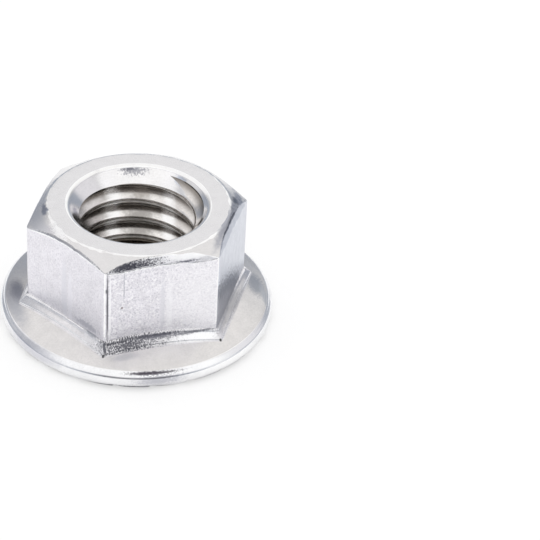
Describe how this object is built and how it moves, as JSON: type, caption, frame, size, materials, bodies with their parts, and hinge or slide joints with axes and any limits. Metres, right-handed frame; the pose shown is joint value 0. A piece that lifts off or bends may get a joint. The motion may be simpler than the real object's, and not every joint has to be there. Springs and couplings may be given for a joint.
{
  "type": "flange nut",
  "caption": "Hexagon flange nut with a conical top chamfer, a flared foot, a round sloping flange and a bearing face with swirled serrations.",
  "frame": {"origin": "middle of the bearing face, in the plane of the serrations' crests", "axes": "+Z along the bore axis, from the bearing face to the hexagon's free end; +X through a corner of the hexagon"},
  "size_m": [0.021, 0.021, 0.0097],
  "materials": {
    "steel": "plain stainless steel, satin from tumbling, brighter in the countersink, the thread and the rim"
  },
  "bodies": {
    "root": {"flange_nut": "steel"}
  },
  "joints": []
}
